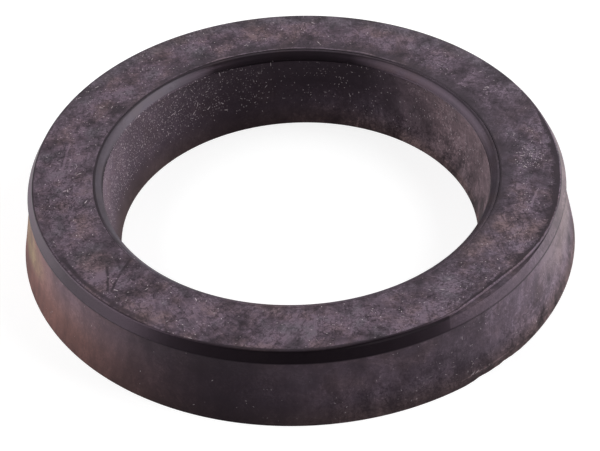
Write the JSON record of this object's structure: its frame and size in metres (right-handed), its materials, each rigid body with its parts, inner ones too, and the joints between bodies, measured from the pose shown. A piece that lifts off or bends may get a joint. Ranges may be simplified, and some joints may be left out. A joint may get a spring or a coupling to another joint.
{
  "type": "u-cup seal",
  "caption": "Moulded black rubber U-cup seal ring with a flat bevelled heel, flared inner and outer lips and an open pressure groove between the lips.",
  "frame": {"origin": "on the ring's axis, in the plane that the ends of both lips rest on", "axes": "+Z along the ring's axis, from the lips to the heel face; X and Y are any two square directions across the ring"},
  "size_m": [0.0818, 0.0818, 0.012],
  "materials": {
    "moulded_rubber": "matt moulded black nitrile rubber with grey bloom and dust"
  },
  "bodies": {
    "root": {"seal_ring": "moulded_rubber"}
  },
  "joints": []
}
